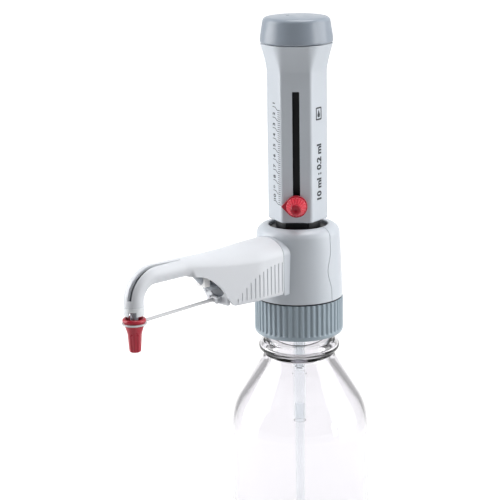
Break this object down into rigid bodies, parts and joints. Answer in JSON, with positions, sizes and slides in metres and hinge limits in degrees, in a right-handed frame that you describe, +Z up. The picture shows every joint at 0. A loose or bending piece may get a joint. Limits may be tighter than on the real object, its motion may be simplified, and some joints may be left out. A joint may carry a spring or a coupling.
{
  "type": "bottle-top dispensing burette",
  "caption": "Bottle-top dispensing burette: a hand-lifted piston barrel with a sliding volume pointer on a swivelling valve head with a side arm, screwed to a glass laboratory bottle.",
  "frame": {"origin": "centre of the bottle's flat base", "axes": "+Z up along the bottle's and piston's common axis; the dispensing arm points along -X; the slotted face of the barrel looks at 222 degrees from +X"},
  "size_m": [0.1801, 0.086, 0.3535],
  "materials": {
    "clear_glass": "clear, polished",
    "cylinder_glass": "clear, ground bore",
    "light_grey": "satin moulded",
    "blue_grey": "satin moulded",
    "dark_grey": "satin moulded",
    "black": "satin moulded",
    "white": "satin moulded",
    "red": "satin moulded",
    "crimson": "glossy moulded",
    "clear_tube": "clear, flexible",
    "rubber_seal": "matt",
    "ball": "polished",
    "piston_white": "satin",
    "pin_steel": "drawn",
    "rod_plastic": "satin moulded"
  },
  "bodies": {
    "bottle": {"bottle": "clear_glass"},
    "seal": {"neck_seal": "rubber_seal"},
    "collar": {"thread_collar": "blue_grey"},
    "valve_head": {"swivel_washer": "black", "valve_block": "white", "head_front_shell": "light_grey", "head_rear_shell": "light_grey", "vent_port": "blue_grey", "intake_valve_body": "white", "intake_seal": "rubber_seal", "filling_tube": "clear_tube", "cylinder_seal": "rubber_seal", "glass_cylinder": "cylinder_glass", "guide_sleeve": "black", "outlet_valve_body": "white", "union_nut": "dark_grey", "discharge_tube": "clear_tube", "tube_clip": "white", "arm_shell": "light_grey", "nozzle_collar": "clear_tube", "strap_bracket": "light_grey", "strap_pin": "pin_steel"},
    "suction_tube": {"suction_tube": "clear_tube"},
    "intake_ball": {"intake_ball": "ball"},
    "outlet_ball": {"outlet_ball": "ball"},
    "barrel": {"barrel": "light_grey", "top_cap": "blue_grey", "rod_holder": "dark_grey", "calibration_nut": "red", "piston_rod": "rod_plastic", "piston_head": "piston_white", "piston_seal": "rubber_seal"},
    "pointer": {"volume_pointer": "red", "pointer_clamp": "black"},
    "pointer_knob": {"pointer_knob": "red"},
    "strap": {"cap_strap": "white"},
    "outlet_cap": {"outlet_cap": "crimson"}
  },
  "joints": [
    {"name": "head_lift", "type": "slide", "parent": "bottle", "child": "seal", "axis": [0, 0, 1], "range_m": [0, 0.014]},
    {"name": "collar_turn", "type": "hinge", "parent": "seal", "child": "collar", "pos_m": [0, 0, 0.17], "axis": [0, 0, 1], "range_deg": [0, 1261]},
    {"name": "head_swivel", "type": "hinge", "parent": "seal", "child": "valve_head", "pos_m": [0, 0, 0.18], "axis": [0, 0, 1], "continuous": true},
    {"name": "suction_slide", "type": "slide", "parent": "valve_head", "child": "suction_tube", "axis": [0, 0, 1], "range_m": [0, 0.022]},
    {"name": "intake_valve_lift", "type": "slide", "parent": "valve_head", "child": "intake_ball", "axis": [0, 0, 1], "range_m": [0, 0.0015]},
    {"name": "outlet_valve_open", "type": "slide", "parent": "valve_head", "child": "outlet_ball", "axis": [-1, 0, 0], "range_m": [0, 0.002]},
    {"name": "barrel_lift", "type": "slide", "parent": "valve_head", "child": "barrel", "axis": [0, 0, 1], "range_m": [0, 0.063]},
    {"name": "pointer_slide", "type": "slide", "parent": "barrel", "child": "pointer", "axis": [0, 0, 1], "range_m": [0, 0.0567]},
    {"name": "pointer_knob_turn", "type": "hinge", "parent": "pointer", "child": "pointer_knob", "pos_m": [-0.01353, -0.01218, 0.2416], "axis": [-0.7431, -0.6691, 0], "range_deg": [0, 90]},
    {"name": "strap_swing", "type": "hinge", "parent": "valve_head", "child": "strap", "pos_m": [-0.0695, 0, 0.194], "axis": [0, -1, 0], "range_deg": [0, 60]},
    {"name": "cap_turn", "type": "hinge", "parent": "strap", "child": "outlet_cap", "pos_m": [-0.13, 0, 0.19], "axis": [0, 0, 1], "continuous": true}
  ],
  "couplings": [
    {"joint": "collar_turn", "follows": "head_lift", "rad_per_m": 1570.8}
  ]
}
